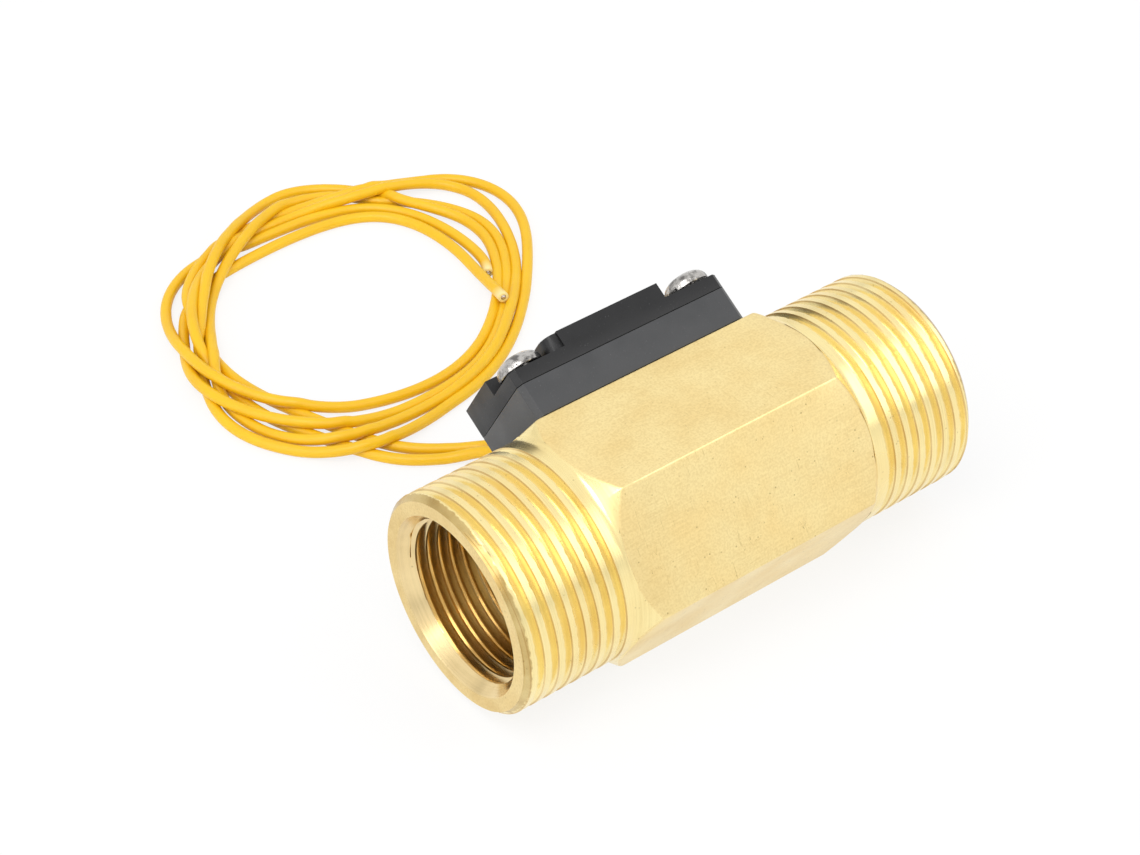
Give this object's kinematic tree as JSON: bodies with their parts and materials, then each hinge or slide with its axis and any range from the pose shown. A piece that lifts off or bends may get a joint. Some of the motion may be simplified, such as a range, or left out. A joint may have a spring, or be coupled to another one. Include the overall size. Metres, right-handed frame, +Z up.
{
  "type": "water flow sensor",
  "caption": "Hexagonal brass in-line water flow sensor with a male and a female pipe thread at each end, a black reed switch housing on one flat and coiled yellow leads.",
  "frame": {"origin": "middle of the flat of the hexagon that the sensor lies on", "axes": "+X along the pipe from the inlet to the outlet, +Z up out of the flat it lies on, +Y towards the side where the leads leave the housing"},
  "size_m": [0.0804, 0.1363, 0.0379],
  "materials": {
    "brass": "machined, fine scratches and pits",
    "base_nylon": "satin black",
    "lid_nylon": "satin black",
    "nickel": "bright nickel plate",
    "white_acetal": "satin white",
    "seal_rubber": "matt black",
    "ferrite": "dark ground ferrite",
    "clip_steel": "bright stainless steel",
    "spring_steel": "drawn stainless wire",
    "grey_acetal": "satin grey",
    "ring_steel": "stamped stainless steel",
    "reed_glass": "clear green glass",
    "reed_alloy": "plated nickel-iron",
    "solder": "tin solder",
    "yellow_pvc": "soft yellow insulation",
    "tinned_copper": "tinned copper strands"
  },
  "bodies": {
    "sensor": {"body": "brass", "housing_base": "base_nylon", "housing_lid": "lid_nylon", "screw_left": "nickel", "screw_right": "nickel", "return_spring": "spring_steel", "spring_stop": "grey_acetal", "retaining_ring": "ring_steel", "reed_glass": "reed_glass", "reed_blade_left": "reed_alloy", "reed_blade_right": "reed_alloy", "solder_left": "solder", "solder_right": "solder", "lead_1": "yellow_pvc", "lead_2": "yellow_pvc", "lead_coil": "yellow_pvc", "lead_1_core": "tinned_copper", "lead_2_core": "tinned_copper"},
    "moving_shuttle": {"shuttle": "white_acetal", "poppet_seal": "seal_rubber", "ring_magnet": "ferrite", "magnet_clip": "clip_steel"}
  },
  "joints": [
    {"name": "shuttle_slide", "type": "slide", "parent": "sensor", "child": "moving_shuttle", "axis": [1, 0, 0], "range_m": [0, 0.008], "stiffness_N_per_m": 172, "springref_m": -0.004, "deforming": ["return_spring"]}
  ]
}
